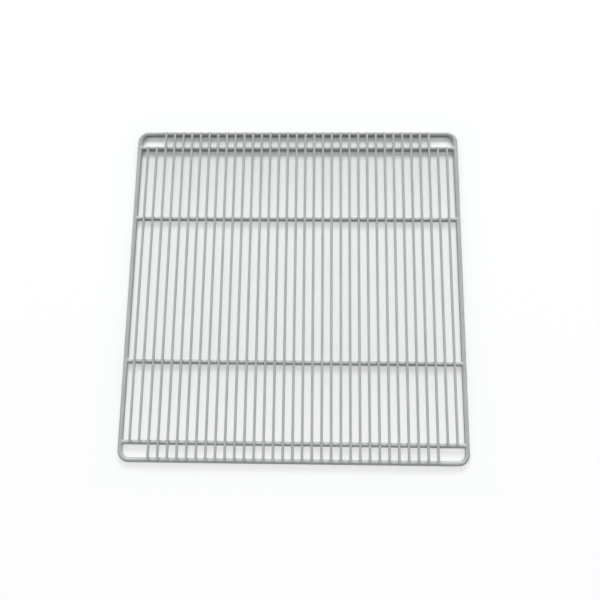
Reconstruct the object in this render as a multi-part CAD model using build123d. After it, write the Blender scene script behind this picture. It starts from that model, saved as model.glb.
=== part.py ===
"""A coated wire shelf for a refrigerator.

A round frame rod is bent into a closed loop with rounded corners. Four cross bars are butted into its side
rods, with their tops level with its top. Thinner wires run from front to back across the top and are welded
to every rod that they cross. The outer wires stop at the end bars, which leaves the four corners open.

Every thickness is measured over the coat. The shelf lies flat: X runs to the right, Y runs to the rear, and
the frame's underside is at the height of the origin, below the middle of the shelf.
"""
import os

from build123d import *

# Overall size, over the outsides of the frame rod
shelf_width = 530.0
shelf_depth = 538.0

# Thickness of each kind of rod
frame_rod_diameter = 7.5
cross_bar_diameter = 7.0
wire_diameter = 4.0

# Frame corners, measured at the rod's centreline
corner_bend_radius = 14.0

# Places of the cross bars, between centrelines
end_bar_inset = 26.0  # from the front or rear frame rod to the bar beside it
middle_bar_spacing = 233.0  # between the two middle bars

# Row of wires, between centrelines
wire_count = 35
short_wires_each_side = 2  # these stop at the end bars
outer_wire_gap = 15.0  # from a side frame rod to the wire beside it

# Weld and wire ends
bar_weld_sink = 1.0  # how far a bar's end is pressed into the side rod
wire_end_reach = 1.0  # how far a wire runs past the centreline of the last rod that it crosses

# Frame loop at the rod's centreline
frame_radius = frame_rod_diameter / 2
frame_half_width = shelf_width / 2 - frame_radius
frame_half_depth = shelf_depth / 2 - frame_radius

# Heights of the centrelines above the frame's underside
frame_height = frame_radius
bar_height = frame_rod_diameter - cross_bar_diameter / 2
wire_height = frame_rod_diameter + wire_diameter / 2

# Cross bars, from the front to the rear
end_bar_place = frame_half_depth - end_bar_inset
middle_bar_place = middle_bar_spacing / 2
bar_places = {
    "front_cross_bar": -end_bar_place,
    "front_middle_cross_bar": -middle_bar_place,
    "rear_middle_cross_bar": middle_bar_place,
    "rear_cross_bar": end_bar_place,
}
bar_half_length = frame_half_width - frame_radius + bar_weld_sink

# Wires, from the left to the right
first_wire_place = -frame_half_width + outer_wire_gap
wire_pitch = -2 * first_wire_place / (wire_count - 1)
long_wire_half_length = frame_half_depth + wire_end_reach
short_wire_half_length = end_bar_place + wire_end_reach


def make_frame_rod():
    """The frame rod, swept round the closed loop."""
    outline = RectangleRounded(2 * frame_half_width, 2 * frame_half_depth, corner_bend_radius)
    loop = Pos(0, 0, frame_height) * outline.face().outer_wire()
    section_plane = Plane(origin=loop @ 0, z_dir=loop % 0)
    return sweep(section_plane * Circle(frame_radius), path=loop).solid()


def make_cross_bar(place, frame_rod):
    """A bar from side rod to side rod, with its ends shaped to the rods that they are welded to."""
    section = Plane.YZ * Circle(cross_bar_diameter / 2)
    bar = extrude(section, amount=bar_half_length, both=True)
    return (Pos(0, place, bar_height) * bar - frame_rod).solid()


def make_wire(place, half_length):
    """A straight wire that lies on top of the rods that it is welded to."""
    section = Plane.XZ * Circle(wire_diameter / 2)
    wire = extrude(section, amount=half_length, both=True)
    return (Pos(place, 0, wire_height) * wire).solid()


def is_short(index):
    """Whether the wire at this place in the row stops at the end bars."""
    return min(index, wire_count - 1 - index) < short_wires_each_side


frame_rod = make_frame_rod()
pieces = {"frame_rod": frame_rod}
for name, place in bar_places.items():
    pieces[name] = make_cross_bar(place, frame_rod)
for index in range(wire_count):
    half_length = short_wire_half_length if is_short(index) else long_wire_half_length
    place = first_wire_place + index * wire_pitch
    pieces[f"wire_{index + 1:02d}"] = make_wire(place, half_length)

os.makedirs("parts", exist_ok=True)
for name, piece in pieces.items():
    export_step(piece, f"parts/{name}.step")
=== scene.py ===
"""Looks of the coated wire shelf.

Each rod, bar and wire of the frame is replaced by a smooth coated one: wires with rounded ends and a
slight bow, bars that run out into the side rods, and a fillet of coat in the corner of every weld.
"""
import functools
import math
import random

import bpy
from mathutils import Matrix, Vector


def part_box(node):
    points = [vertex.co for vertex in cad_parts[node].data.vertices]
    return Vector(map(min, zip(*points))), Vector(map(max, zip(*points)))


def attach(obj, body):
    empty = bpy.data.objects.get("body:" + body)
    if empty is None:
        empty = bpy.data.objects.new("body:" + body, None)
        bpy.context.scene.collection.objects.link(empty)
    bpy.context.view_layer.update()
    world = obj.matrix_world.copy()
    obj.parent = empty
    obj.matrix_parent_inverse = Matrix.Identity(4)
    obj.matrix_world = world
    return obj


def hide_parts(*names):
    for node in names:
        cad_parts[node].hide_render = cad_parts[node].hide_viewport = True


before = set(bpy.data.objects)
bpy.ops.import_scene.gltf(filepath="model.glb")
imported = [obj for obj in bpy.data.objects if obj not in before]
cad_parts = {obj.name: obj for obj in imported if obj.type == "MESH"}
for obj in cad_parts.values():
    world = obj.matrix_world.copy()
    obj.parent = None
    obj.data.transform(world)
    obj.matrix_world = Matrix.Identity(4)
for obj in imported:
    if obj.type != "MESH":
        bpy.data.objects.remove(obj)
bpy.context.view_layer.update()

MM = 0.001

# Shape of the coat, where the frame doesn't give it
corner_count = 4
corner_bend = 14 * MM  # bend of the frame rod at its centreline
wire_end_rounding = 1.2 * MM
wire_bow = 0.25 * MM  # most that a wire strays sideways between its ends
weld_fillet_gap = 1.1 * MM  # the coat closes the corner at a weld up to this gap
weld_fillet_sink = 0.1 * MM  # how far a fillet's rim lies inside the rod that it runs out on
bar_fillet = 2.0 * MM  # how far the coat's fillet reaches on a bar's end and on the side rod
bar_fillet_sink = 0.025 * MM  # the same for the rim of a bar's end on the side rod
bar_end_dip = 0.5 * MM  # how far a bar's coat dips where its end meets the round of the side rod
fillet_fullness = 0.6  # how far a fillet's curve is drawn into its corner
random_seed = 7  # of the draws for the wires' bows

# Mesh fineness: the sides and steps of each shape, and where its shading breaks
wire_sides = 24
rod_sides = 64
corner_steps = 20
end_steps = 6
wire_steps = 23  # from a wire's rounded end to its middle
fillet_spokes = 32
fillet_steps = 8
reach_halvings = 24  # steps of the search for a fillet's reach
sharp_angle = math.radians(40)  # faces that meet at more than this aren't shaded as one

# Coat: its colours, and the scale of what varies over it in noise cells per metre
dark_tone = (0.38, 0.404, 0.397, 1)
light_tone = (0.424, 0.445, 0.438, 1)
weld_shade_tone = (0.35, 0.371, 0.364, 1)  # painted shade in the corners of the welds, on the fillets where the coat pools
cloud_scale = 22
cloud_detail = 3
patch_scale = 60
patch_detail = 2
peel_scale = 420
peel_detail = 2
noise_low = 0.3  # the middle range of a noise texture's values
noise_high = 0.7
satin_roughness = 0.36
dull_roughness = 0.48
peel_height = 0.2 * MM
peel_strength = 0.6
specular_level = 0.45

# Stage, in metres: the floor is seen as a matt tone with a share of plain white, for a pale shadow
white = (1, 1, 1, 1)
floor_size = 8.0
floor_seen_tone = (0.945, 0.985, 0.977, 1)
floor_lit_tone = (0.35, 0.35, 0.35, 1)  # its tone for the light that it throws back on the shelf
middle_glow = 0.45  # shares of white: none at the rear rod, this one behind the shelf's middle
front_glow = 0.63  # at the front rod
outer_glow = 0.75  # round the shelf
middle_glow_place = 0.1  # how far behind the shelf's middle the middle share is reached
outer_glow_fade = 0.06  # distance outside the shelf at which the outer share is reached
white_start = 0.35  # distances from the shelf's middle over which the floor turns to plain white
white_end = 1.2
world_strength = 0.1  # of the faint light from all round

# Lights, in metres: the level of each is the brightness that it gives a white floor under the shelf
rear_light = {"place": (0, 7.8, 4.65), "size": (6.6, 3.0), "level": 0.55}
overhead_light = {"place": (0, 0.2, 2.0), "size": (1.6, 0.8), "level": 0.12}
left_light = {"place": (-1.8, 0.3, 1.2), "size": (1.0, 1.6), "level": 0.15}
right_light = {"place": (1.8, 0.3, 1.2), "size": (1.0, 1.6), "level": 0.15}
front_light = {"place": (0, -1.1, 0.25), "size": (1.2, 0.3), "level": 0.035}

# Camera, with its lens and sensor in millimetres
camera_place = Vector((36.2, -242.2, 1037.0)) * MM
camera_aim = Vector((8.6, -18.5, 10.0)) * MM
camera_roll = math.radians(-6.49)
camera_lens = 40.25
camera_sensor = 36.0

# Axes of the shared frame
x_axis = 0  # left to right
y_axis = 1  # front to back


def node_names(part_of_name):
    """The frame's nodes with these words in their names, in order."""
    return sorted(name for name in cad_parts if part_of_name in name)


class Rod:
    """A straight rod along an axis of the frame, read from its node's box."""

    def __init__(self, node, along):
        low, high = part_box(node)
        across = y_axis if along == x_axis else x_axis
        self.node = node
        self.radius = (high.z - low.z) / 2
        self.height = (high.z + low.z) / 2
        self.place = (high[across] + low[across]) / 2
        self.start = low[along]
        self.end = high[along]


class FrameLoop:
    """The bent frame rod, read from its node's box."""

    def __init__(self, node):
        low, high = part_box(node)
        self.node = node
        self.radius = (high.z - low.z) / 2
        self.height = (high.z + low.z) / 2
        self.half_width = high.x - self.radius
        self.half_depth = high.y - self.radius


class Crossing:
    """A rod that runs left to right below the wires: its place from front to back and its radius."""

    def __init__(self, place, radius):
        self.place = place
        self.radius = radius


loop = FrameLoop("frame_rod")
bars = [Rod(node, x_axis) for node in node_names("cross_bar")]
wires = [Rod(node, y_axis) for node in node_names("wire_")]
crossings = [Crossing(bar.place, bar.radius) for bar in bars]
crossings += [Crossing(side * loop.half_depth, loop.radius) for side in (-1, 1)]


# Mesh building

quarter_turn = math.pi / 2


def angles_round(count):
    """Angles evenly spaced round a circle."""
    return [2 * math.pi * i / count for i in range(count)]


def circle(centre, side, up, radius, count):
    """A ring of points about a centre, in the plane of two directions."""
    turns = angles_round(count)
    return [centre + (side * math.cos(turn) + up * math.sin(turn)) * radius for turn in turns]


def rings_across(lines):
    """The rings that run across a set of lines of equal length, from their starts to their ends."""
    return [list(ring) for ring in zip(*lines)]


def bezier(start, first_pull, second_pull, end, share):
    """A point on a cubic curve between two ends."""
    rest = 1 - share
    return (
        start * rest ** 3
        + first_pull * 3 * share * rest ** 2
        + second_pull * 3 * share ** 2 * rest
        + end * share ** 3
    )


def fillet_curve(start, first_pull, second_pull, end):
    """Points along a fillet's concave curve."""
    shares = [n / fillet_steps for n in range(fillet_steps + 1)]
    return [bezier(start, first_pull, second_pull, end, share) for share in shares]


def ring_faces(first, second, count):
    """Quads between two rings of vertices that start at the given numbers."""
    return [
        (first + i, first + (i + 1) % count, second + (i + 1) % count, second + i)
        for i in range(count)
    ]


def tube(rings, closed):
    """Vertices and faces of a tube through the rings, joined end to end or capped."""
    count = len(rings[0])
    last = (len(rings) - 1) * count
    vertices = [point for ring in rings for point in ring]
    faces = []
    for first in range(0, last, count):
        faces += ring_faces(first, first + count, count)
    if closed:
        faces += ring_faces(last, 0, count)
    else:
        faces.append(tuple(reversed(range(count))))
        faces.append(tuple(range(last, last + count)))
    return vertices, faces


def make_piece(node, body, fillets=()):
    """One object from a rod's body and its fillets. It replaces a node and rides on the shelf."""
    vertices = []
    faces = []
    weld_shade_shares = []  # 1 on the fillets, where the coat is pooled and painted shade darkens its tone
    for (points, polygons), weld_shade_share in [(body, 0.0)] + [(fillet, 1.0) for fillet in fillets]:
        first = len(vertices)
        vertices += points
        faces += [tuple(first + i for i in polygon) for polygon in polygons]
        weld_shade_shares += [weld_shade_share] * len(points)
    mesh = bpy.data.meshes.new(node + "_coated")
    mesh.from_pydata(vertices, [], faces)
    mesh.validate()
    attribute = mesh.attributes.new("weld", "FLOAT", "POINT")
    attribute.data.foreach_set("value", weld_shade_shares)
    mesh.shade_smooth()
    mesh.set_sharp_from_angle(angle=sharp_angle)
    mesh.materials.append(coat)
    piece = bpy.data.objects.new(node + "_coated", mesh)
    bpy.context.scene.collection.objects.link(piece)
    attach(piece, "root")
    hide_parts(node)


# Frame rod

def loop_stations():
    """Points along the frame's centreline, each with its outward direction."""
    stations = []
    for corner in range(corner_count):
        halfway = quarter_turn * (corner + 0.5)
        centre = Vector((
            math.copysign(loop.half_width - corner_bend, math.cos(halfway)),
            math.copysign(loop.half_depth - corner_bend, math.sin(halfway)),
            loop.height,
        ))
        for step in range(corner_steps + 1):
            turn = quarter_turn * (corner + step / corner_steps)
            outward = Vector((math.cos(turn), math.sin(turn), 0))
            stations.append((centre + outward * corner_bend, outward))
    return stations


def frame_shape():
    """The round rod, bent into one closed loop."""
    down = Vector((0, 0, -1))
    rings = [circle(point, outward, down, loop.radius, rod_sides) for point, outward in loop_stations()]
    return tube(rings, closed=True)


# Cross bars

def on_side_rod(place, angle, depth):
    """A point of the right side rod, by its place along it, angle above level and depth in the coat."""
    radius = loop.radius - depth
    x = loop.half_width - radius * math.cos(angle)
    return Vector((x, place, loop.height + radius * math.sin(angle)))


def rod_angle(height):
    """The angle above level, about the side rod's centreline, at which its inner face has a height."""
    return math.asin((height - loop.height) / loop.radius)


def bar_end_line(bar, turn):
    """One line of a bar's right end: it leaves the bar, runs out on the side rod and ends inside it."""
    across = math.cos(turn)
    rise = math.sin(turn)
    place = bar.place + bar.radius * across
    angle = rod_angle(bar.height + (bar.radius - bar_end_dip) * rise)
    outward = Vector((bar.radius * across, (angle - rod_angle(bar.height)) * loop.radius)).normalized()
    foot_place = place + bar_fillet * outward.x
    foot_angle = angle + bar_fillet * outward.y / loop.radius
    foot = on_side_rod(foot_place, foot_angle, bar_fillet_sink)
    inside = on_side_rod(foot_place, foot_angle, loop.radius / 2)
    meeting = Vector((on_side_rod(place, angle, depth=0).x, place, bar.height + bar.radius * rise))
    # The fillet starts along the bar and ends along the rod's surface
    bar_run = Vector((bar_fillet, 0, 0))
    rod_run = bar_fillet * Vector((
        outward.y * math.sin(foot_angle),
        outward.x,
        outward.y * math.cos(foot_angle),
    ))
    first_pull = meeting - bar_run * (1 - fillet_fullness)
    second_pull = foot - rod_run * fillet_fullness
    return fillet_curve(meeting - bar_run, first_pull, second_pull, foot) + [inside]


def bar_shape(bar):
    """A bar from side rod to side rod, with a fillet of coat where each end runs out on its rod."""
    right_end = rings_across([bar_end_line(bar, turn) for turn in angles_round(rod_sides)])
    left_end = [[Vector((-point.x, point.y, point.z)) for point in ring] for ring in reversed(right_end)]
    return tube(left_end + right_end, closed=False)


# Wires

def wire_radius_at(wire, y):
    """A wire's radius at a place along it, which its rounded ends make smaller."""
    to_end = max(min(wire.end - y, y - wire.start), 0)
    inset = max(wire_end_rounding - to_end, 0)
    return wire.radius - wire_end_rounding + math.sqrt(wire_end_rounding ** 2 - inset ** 2)


def wire_stations(wire):
    """Places along a wire, close together where its ends are rounded."""
    straight = (wire.end - wire.start) / 2 - wire_end_rounding
    turns = [quarter_turn * n / end_steps for n in range(end_steps + 1)]
    from_end = [wire_end_rounding * (1 - math.cos(turn)) for turn in turns]
    from_end += [wire_end_rounding + straight * n / wire_steps for n in range(1, wire_steps + 1)]
    first_half = [wire.start + away for away in from_end]
    second_half = [wire.end - away for away in reversed(from_end[:-1])]
    return first_half + second_half


def bow_at(wire, bow, y):
    """How far a wire strays sideways at a place along it."""
    return bow * math.cos(math.pi * y / (wire.end - wire.start))


def wire_shape(wire, bow):
    """A round wire with rounded ends and its own bow."""
    right = Vector((1, 0, 0))
    down = Vector((0, 0, -1))
    rings = []
    for y in wire_stations(wire):
        centre = Vector((wire.place + bow_at(wire, bow, y), y, wire.height))
        rings.append(circle(centre, right, down, wire_radius_at(wire, y), wire_sides))
    return tube(rings, closed=False)


# Welds

def half_chord(radius, offset):
    """Half the height of a round section, at an offset from its middle."""
    return math.sqrt(max(radius ** 2 - offset ** 2, 0))


class Weld:
    """The corner between a wire's underside and the rod below it, at one crossing."""

    def __init__(self, wire, crossing, bow):
        self.wire = wire
        self.crossing = crossing
        x = wire.place + bow_at(wire, bow, crossing.place)
        self.point = Vector((x, crossing.place, wire.height - wire.radius))

    def on_wire(self, spoke, away):
        """A point of the wire's underside, by its direction and distance from the weld."""
        across = away * math.cos(spoke)
        along = away * math.sin(spoke)
        radius = wire_radius_at(self.wire, self.point.y + along)
        return self.point + Vector((across, along, self.wire.radius - half_chord(radius, across)))

    def on_rod(self, spoke, away):
        """A point of the rod's top, by its direction and distance from the weld."""
        across = away * math.cos(spoke)
        along = away * math.sin(spoke)
        drop = self.crossing.radius - half_chord(self.crossing.radius, along)
        return self.point + Vector((across, along, -drop))

    def fillet_reach(self, spoke):
        """How far from the weld, in a direction, the gap is as wide as the coat can close."""
        near = 0
        far = self.wire.radius
        for _ in range(reach_halvings):
            middle = (near + far) / 2
            gap = self.on_wire(spoke, middle).z - self.on_rod(spoke, middle).z
            if gap < weld_fillet_gap:
                near = middle
            else:
                far = middle
        return near

    def fillet_line(self, spoke):
        """One line of the fillet, from the rod's top towards the weld and out on the wire's underside."""
        reach = self.fillet_reach(spoke)
        inner = reach * (1 - fillet_fullness)
        sink = Vector((0, 0, weld_fillet_sink))
        foot = self.on_rod(spoke, reach) - sink
        top = self.on_wire(spoke, reach) + sink
        return fillet_curve(foot, self.on_rod(spoke, inner), self.on_wire(spoke, inner), top)

    def fillet_shape(self):
        """The coat's fillet round a weld: a concave ring between the wire and the rod."""
        rings = rings_across([self.fillet_line(spoke) for spoke in angles_round(fillet_spokes)])
        return tube(rings, closed=False)


# Materials

class Nodes:
    """The node tree of a material or of the world, with short ways to add to it."""

    def __init__(self, owner):
        owner.use_nodes = True
        self.tree = owner.node_tree

    def feed(self, socket, value):
        """Links a socket to another node's output, or sets its value."""
        if isinstance(value, bpy.types.NodeSocket):
            self.tree.links.new(value, socket)
        else:
            socket.default_value = value

    def add(self, kind, inputs, **settings):
        """Adds a node with its settings and inputs, and gives its outputs."""
        node = self.tree.nodes.new(kind)
        for name, value in settings.items():
            setattr(node, name, value)
        for name, value in inputs.items():
            self.feed(node.inputs[name], value)
        return node.outputs

    def place(self):
        """The point that is shaded, in the shared frame."""
        return self.add("ShaderNodeTexCoord", {})["Object"]

    def noise(self, scale, detail):
        inputs = {"Vector": self.place(), "Scale": scale, "Detail": detail}
        return self.add("ShaderNodeTexNoise", inputs)["Fac"]

    def map_range(self, source, start, end, low, high):
        """Turns one range of a value into another, with a soft start and end."""
        inputs = {"Value": source, "From Min": start, "From Max": end, "To Min": low, "To Max": high}
        return self.add("ShaderNodeMapRange", inputs, interpolation_type="SMOOTHSTEP")["Result"]

    def absolute(self, value):
        return self.add("ShaderNodeMath", {0: value}, operation="ABSOLUTE")["Value"]

    def maximum(self, first, second):
        return self.add("ShaderNodeMath", {0: first, 1: second}, operation="MAXIMUM")["Value"]

    def mix_colours(self, share, first, second):
        inputs = {"Factor": share, "A": first, "B": second}
        return self.add("ShaderNodeMix", inputs, data_type="RGBA")["Result"]

    def mix_shaders(self, share, first, second):
        return self.add("ShaderNodeMixShader", {0: share, 1: first, 2: second})["Shader"]

    def matt_paint(self, tone):
        return self.add("ShaderNodeBsdfDiffuse", {"Color": tone})["BSDF"]

    def seen_share(self):
        """1 for rays by which a camera, gloss or glass sees a surface, 0 for those that bring its light."""
        path = self.add("ShaderNodeLightPath", {})
        mirrored = self.maximum(path["Is Glossy Ray"], path["Is Transmission Ray"])
        return self.maximum(path["Is Camera Ray"], mirrored)


def make_coat():
    """A satin light grey plastic coat: cloudy in tone, darkened by painted shade at the welds, with a faint
    orange peel.
    """
    material = bpy.data.materials.new("grey_coat")
    nodes = Nodes(material)
    clouds = nodes.map_range(nodes.noise(cloud_scale, cloud_detail), noise_low, noise_high, 0, 1)
    # The weld attribute is 1 on the fillets, where painted shade darkens the coat's tone
    weld = nodes.add("ShaderNodeAttribute", {}, attribute_name="weld")["Fac"]
    tone = nodes.mix_colours(weld, nodes.mix_colours(clouds, dark_tone, light_tone), weld_shade_tone)
    patches = nodes.noise(patch_scale, patch_detail)
    roughness = nodes.map_range(patches, noise_low, noise_high, satin_roughness, dull_roughness)
    peel = nodes.noise(peel_scale, peel_detail)
    relief = {"Height": peel, "Distance": peel_height, "Strength": peel_strength}
    bump = nodes.add("ShaderNodeBump", relief)
    shader = nodes.tree.nodes["Principled BSDF"]
    nodes.feed(shader.inputs["Base Color"], tone)
    nodes.feed(shader.inputs["Roughness"], roughness)
    nodes.feed(shader.inputs["Normal"], bump["Normal"])
    nodes.feed(shader.inputs["Specular IOR Level"], specular_level)
    return material


def glow_share(nodes):
    """The share of white in the floor: none at the rear rod, more to the front, most round the shelf."""
    place = nodes.place()
    parts = nodes.add("ShaderNodeSeparateXYZ", {"Vector": place})
    distance = nodes.add("ShaderNodeVectorMath", {0: place}, operation="LENGTH")["Value"]
    width = loop.half_width
    depth = loop.half_depth
    shares = [
        nodes.map_range(parts["Y"], depth, middle_glow_place, 0, middle_glow),
        nodes.map_range(parts["Y"], middle_glow_place, -depth, 0, front_glow),
        nodes.map_range(nodes.absolute(parts["Y"]), depth, depth + outer_glow_fade, 0, outer_glow),
        nodes.map_range(nodes.absolute(parts["X"]), width, width + outer_glow_fade, 0, outer_glow),
        nodes.map_range(distance, white_start, white_end, 0, 1),
    ]
    return functools.reduce(nodes.maximum, shares)


def make_floor_material():
    """A matt floor that is seen as near white, and lights the shelf as a pale grey one."""
    material = bpy.data.materials.new("pale_floor")
    nodes = Nodes(material)
    nodes.tree.nodes.remove(nodes.tree.nodes["Principled BSDF"])
    plain_white = nodes.add("ShaderNodeEmission", {"Color": white})["Emission"]
    seen_floor = nodes.mix_shaders(glow_share(nodes), nodes.matt_paint(floor_seen_tone), plain_white)
    floor = nodes.mix_shaders(nodes.seen_share(), nodes.matt_paint(floor_lit_tone), seen_floor)
    nodes.feed(nodes.tree.nodes["Material Output"].inputs["Surface"], floor)
    return material


# The object's pieces

coat = make_coat()
make_piece(loop.node, frame_shape())
for bar in bars:
    make_piece(bar.node, bar_shape(bar))

luck = random.Random(random_seed)
for wire in wires:
    bow = luck.uniform(-wire_bow, wire_bow)
    met = [crossing for crossing in crossings if wire.start < crossing.place < wire.end]
    fillets = [Weld(wire, crossing, bow).fillet_shape() for crossing in met]
    make_piece(wire.node, wire_shape(wire, bow), fillets)


# Stage

def make_floor():
    """A plain square floor under the shelf."""
    mesh = bpy.data.meshes.new("floor")
    half = floor_size / 2
    corners = [(-half, -half, 0), (half, -half, 0), (half, half, 0), (-half, half, 0)]
    mesh.from_pydata(corners, [], [(0, 1, 2, 3)])
    mesh.materials.append(make_floor_material())
    floor = bpy.data.objects.new("floor", mesh)
    bpy.context.scene.collection.objects.link(floor)


def make_world():
    """A world that is seen as plain white and lights the shelf faintly from all round."""
    world = bpy.data.worlds.new("studio")
    nodes = Nodes(world)
    nodes.tree.nodes.remove(nodes.tree.nodes["Background"])
    faint = nodes.add("ShaderNodeBackground", {"Color": white, "Strength": world_strength})["Background"]
    plain_white = nodes.add("ShaderNodeBackground", {"Color": white})["Background"]
    surface = nodes.mix_shaders(nodes.seen_share(), faint, plain_white)
    nodes.feed(nodes.tree.nodes["World Output"].inputs["Surface"], surface)
    bpy.context.scene.world = world


def make_softbox(name, place, size, level):
    """A soft rectangular light that faces the shelf, with the power that gives its level there."""
    place = Vector(place)
    data = bpy.data.lights.new(name, "AREA")
    data.shape = "RECTANGLE"
    data.size, data.size_y = size
    fall_off = place.z / place.length ** 3  # by the distance and by the angle at the floor
    spread = math.pi ** 2  # a flat lamp and a matt floor each divide their light by pi
    data.energy = level * spread / fall_off
    lamp = bpy.data.objects.new(name, data)
    lamp.location = place
    lamp.rotation_euler = (-place).to_track_quat("-Z", "Y").to_euler()
    lamp.visible_camera = False
    bpy.context.scene.collection.objects.link(lamp)


def make_camera():
    """A camera at the photograph's angle."""
    data = bpy.data.cameras.new("camera")
    data.lens = camera_lens
    data.sensor_width = camera_sensor
    camera = bpy.data.objects.new("camera", data)
    look = (camera_aim - camera_place).to_track_quat("-Z", "Y").to_matrix()
    turned = look @ Matrix.Rotation(camera_roll, 3, "Z")
    camera.matrix_world = Matrix.Translation(camera_place) @ turned.to_4x4()
    bpy.context.scene.collection.objects.link(camera)
    bpy.context.scene.camera = camera


make_floor()
make_world()
make_softbox("rear_softbox", **rear_light)
make_softbox("overhead_softbox", **overhead_light)
make_softbox("left_softbox", **left_light)
make_softbox("right_softbox", **right_light)
make_softbox("front_softbox", **front_light)
make_camera()
bpy.context.scene.view_settings.view_transform = "Standard"
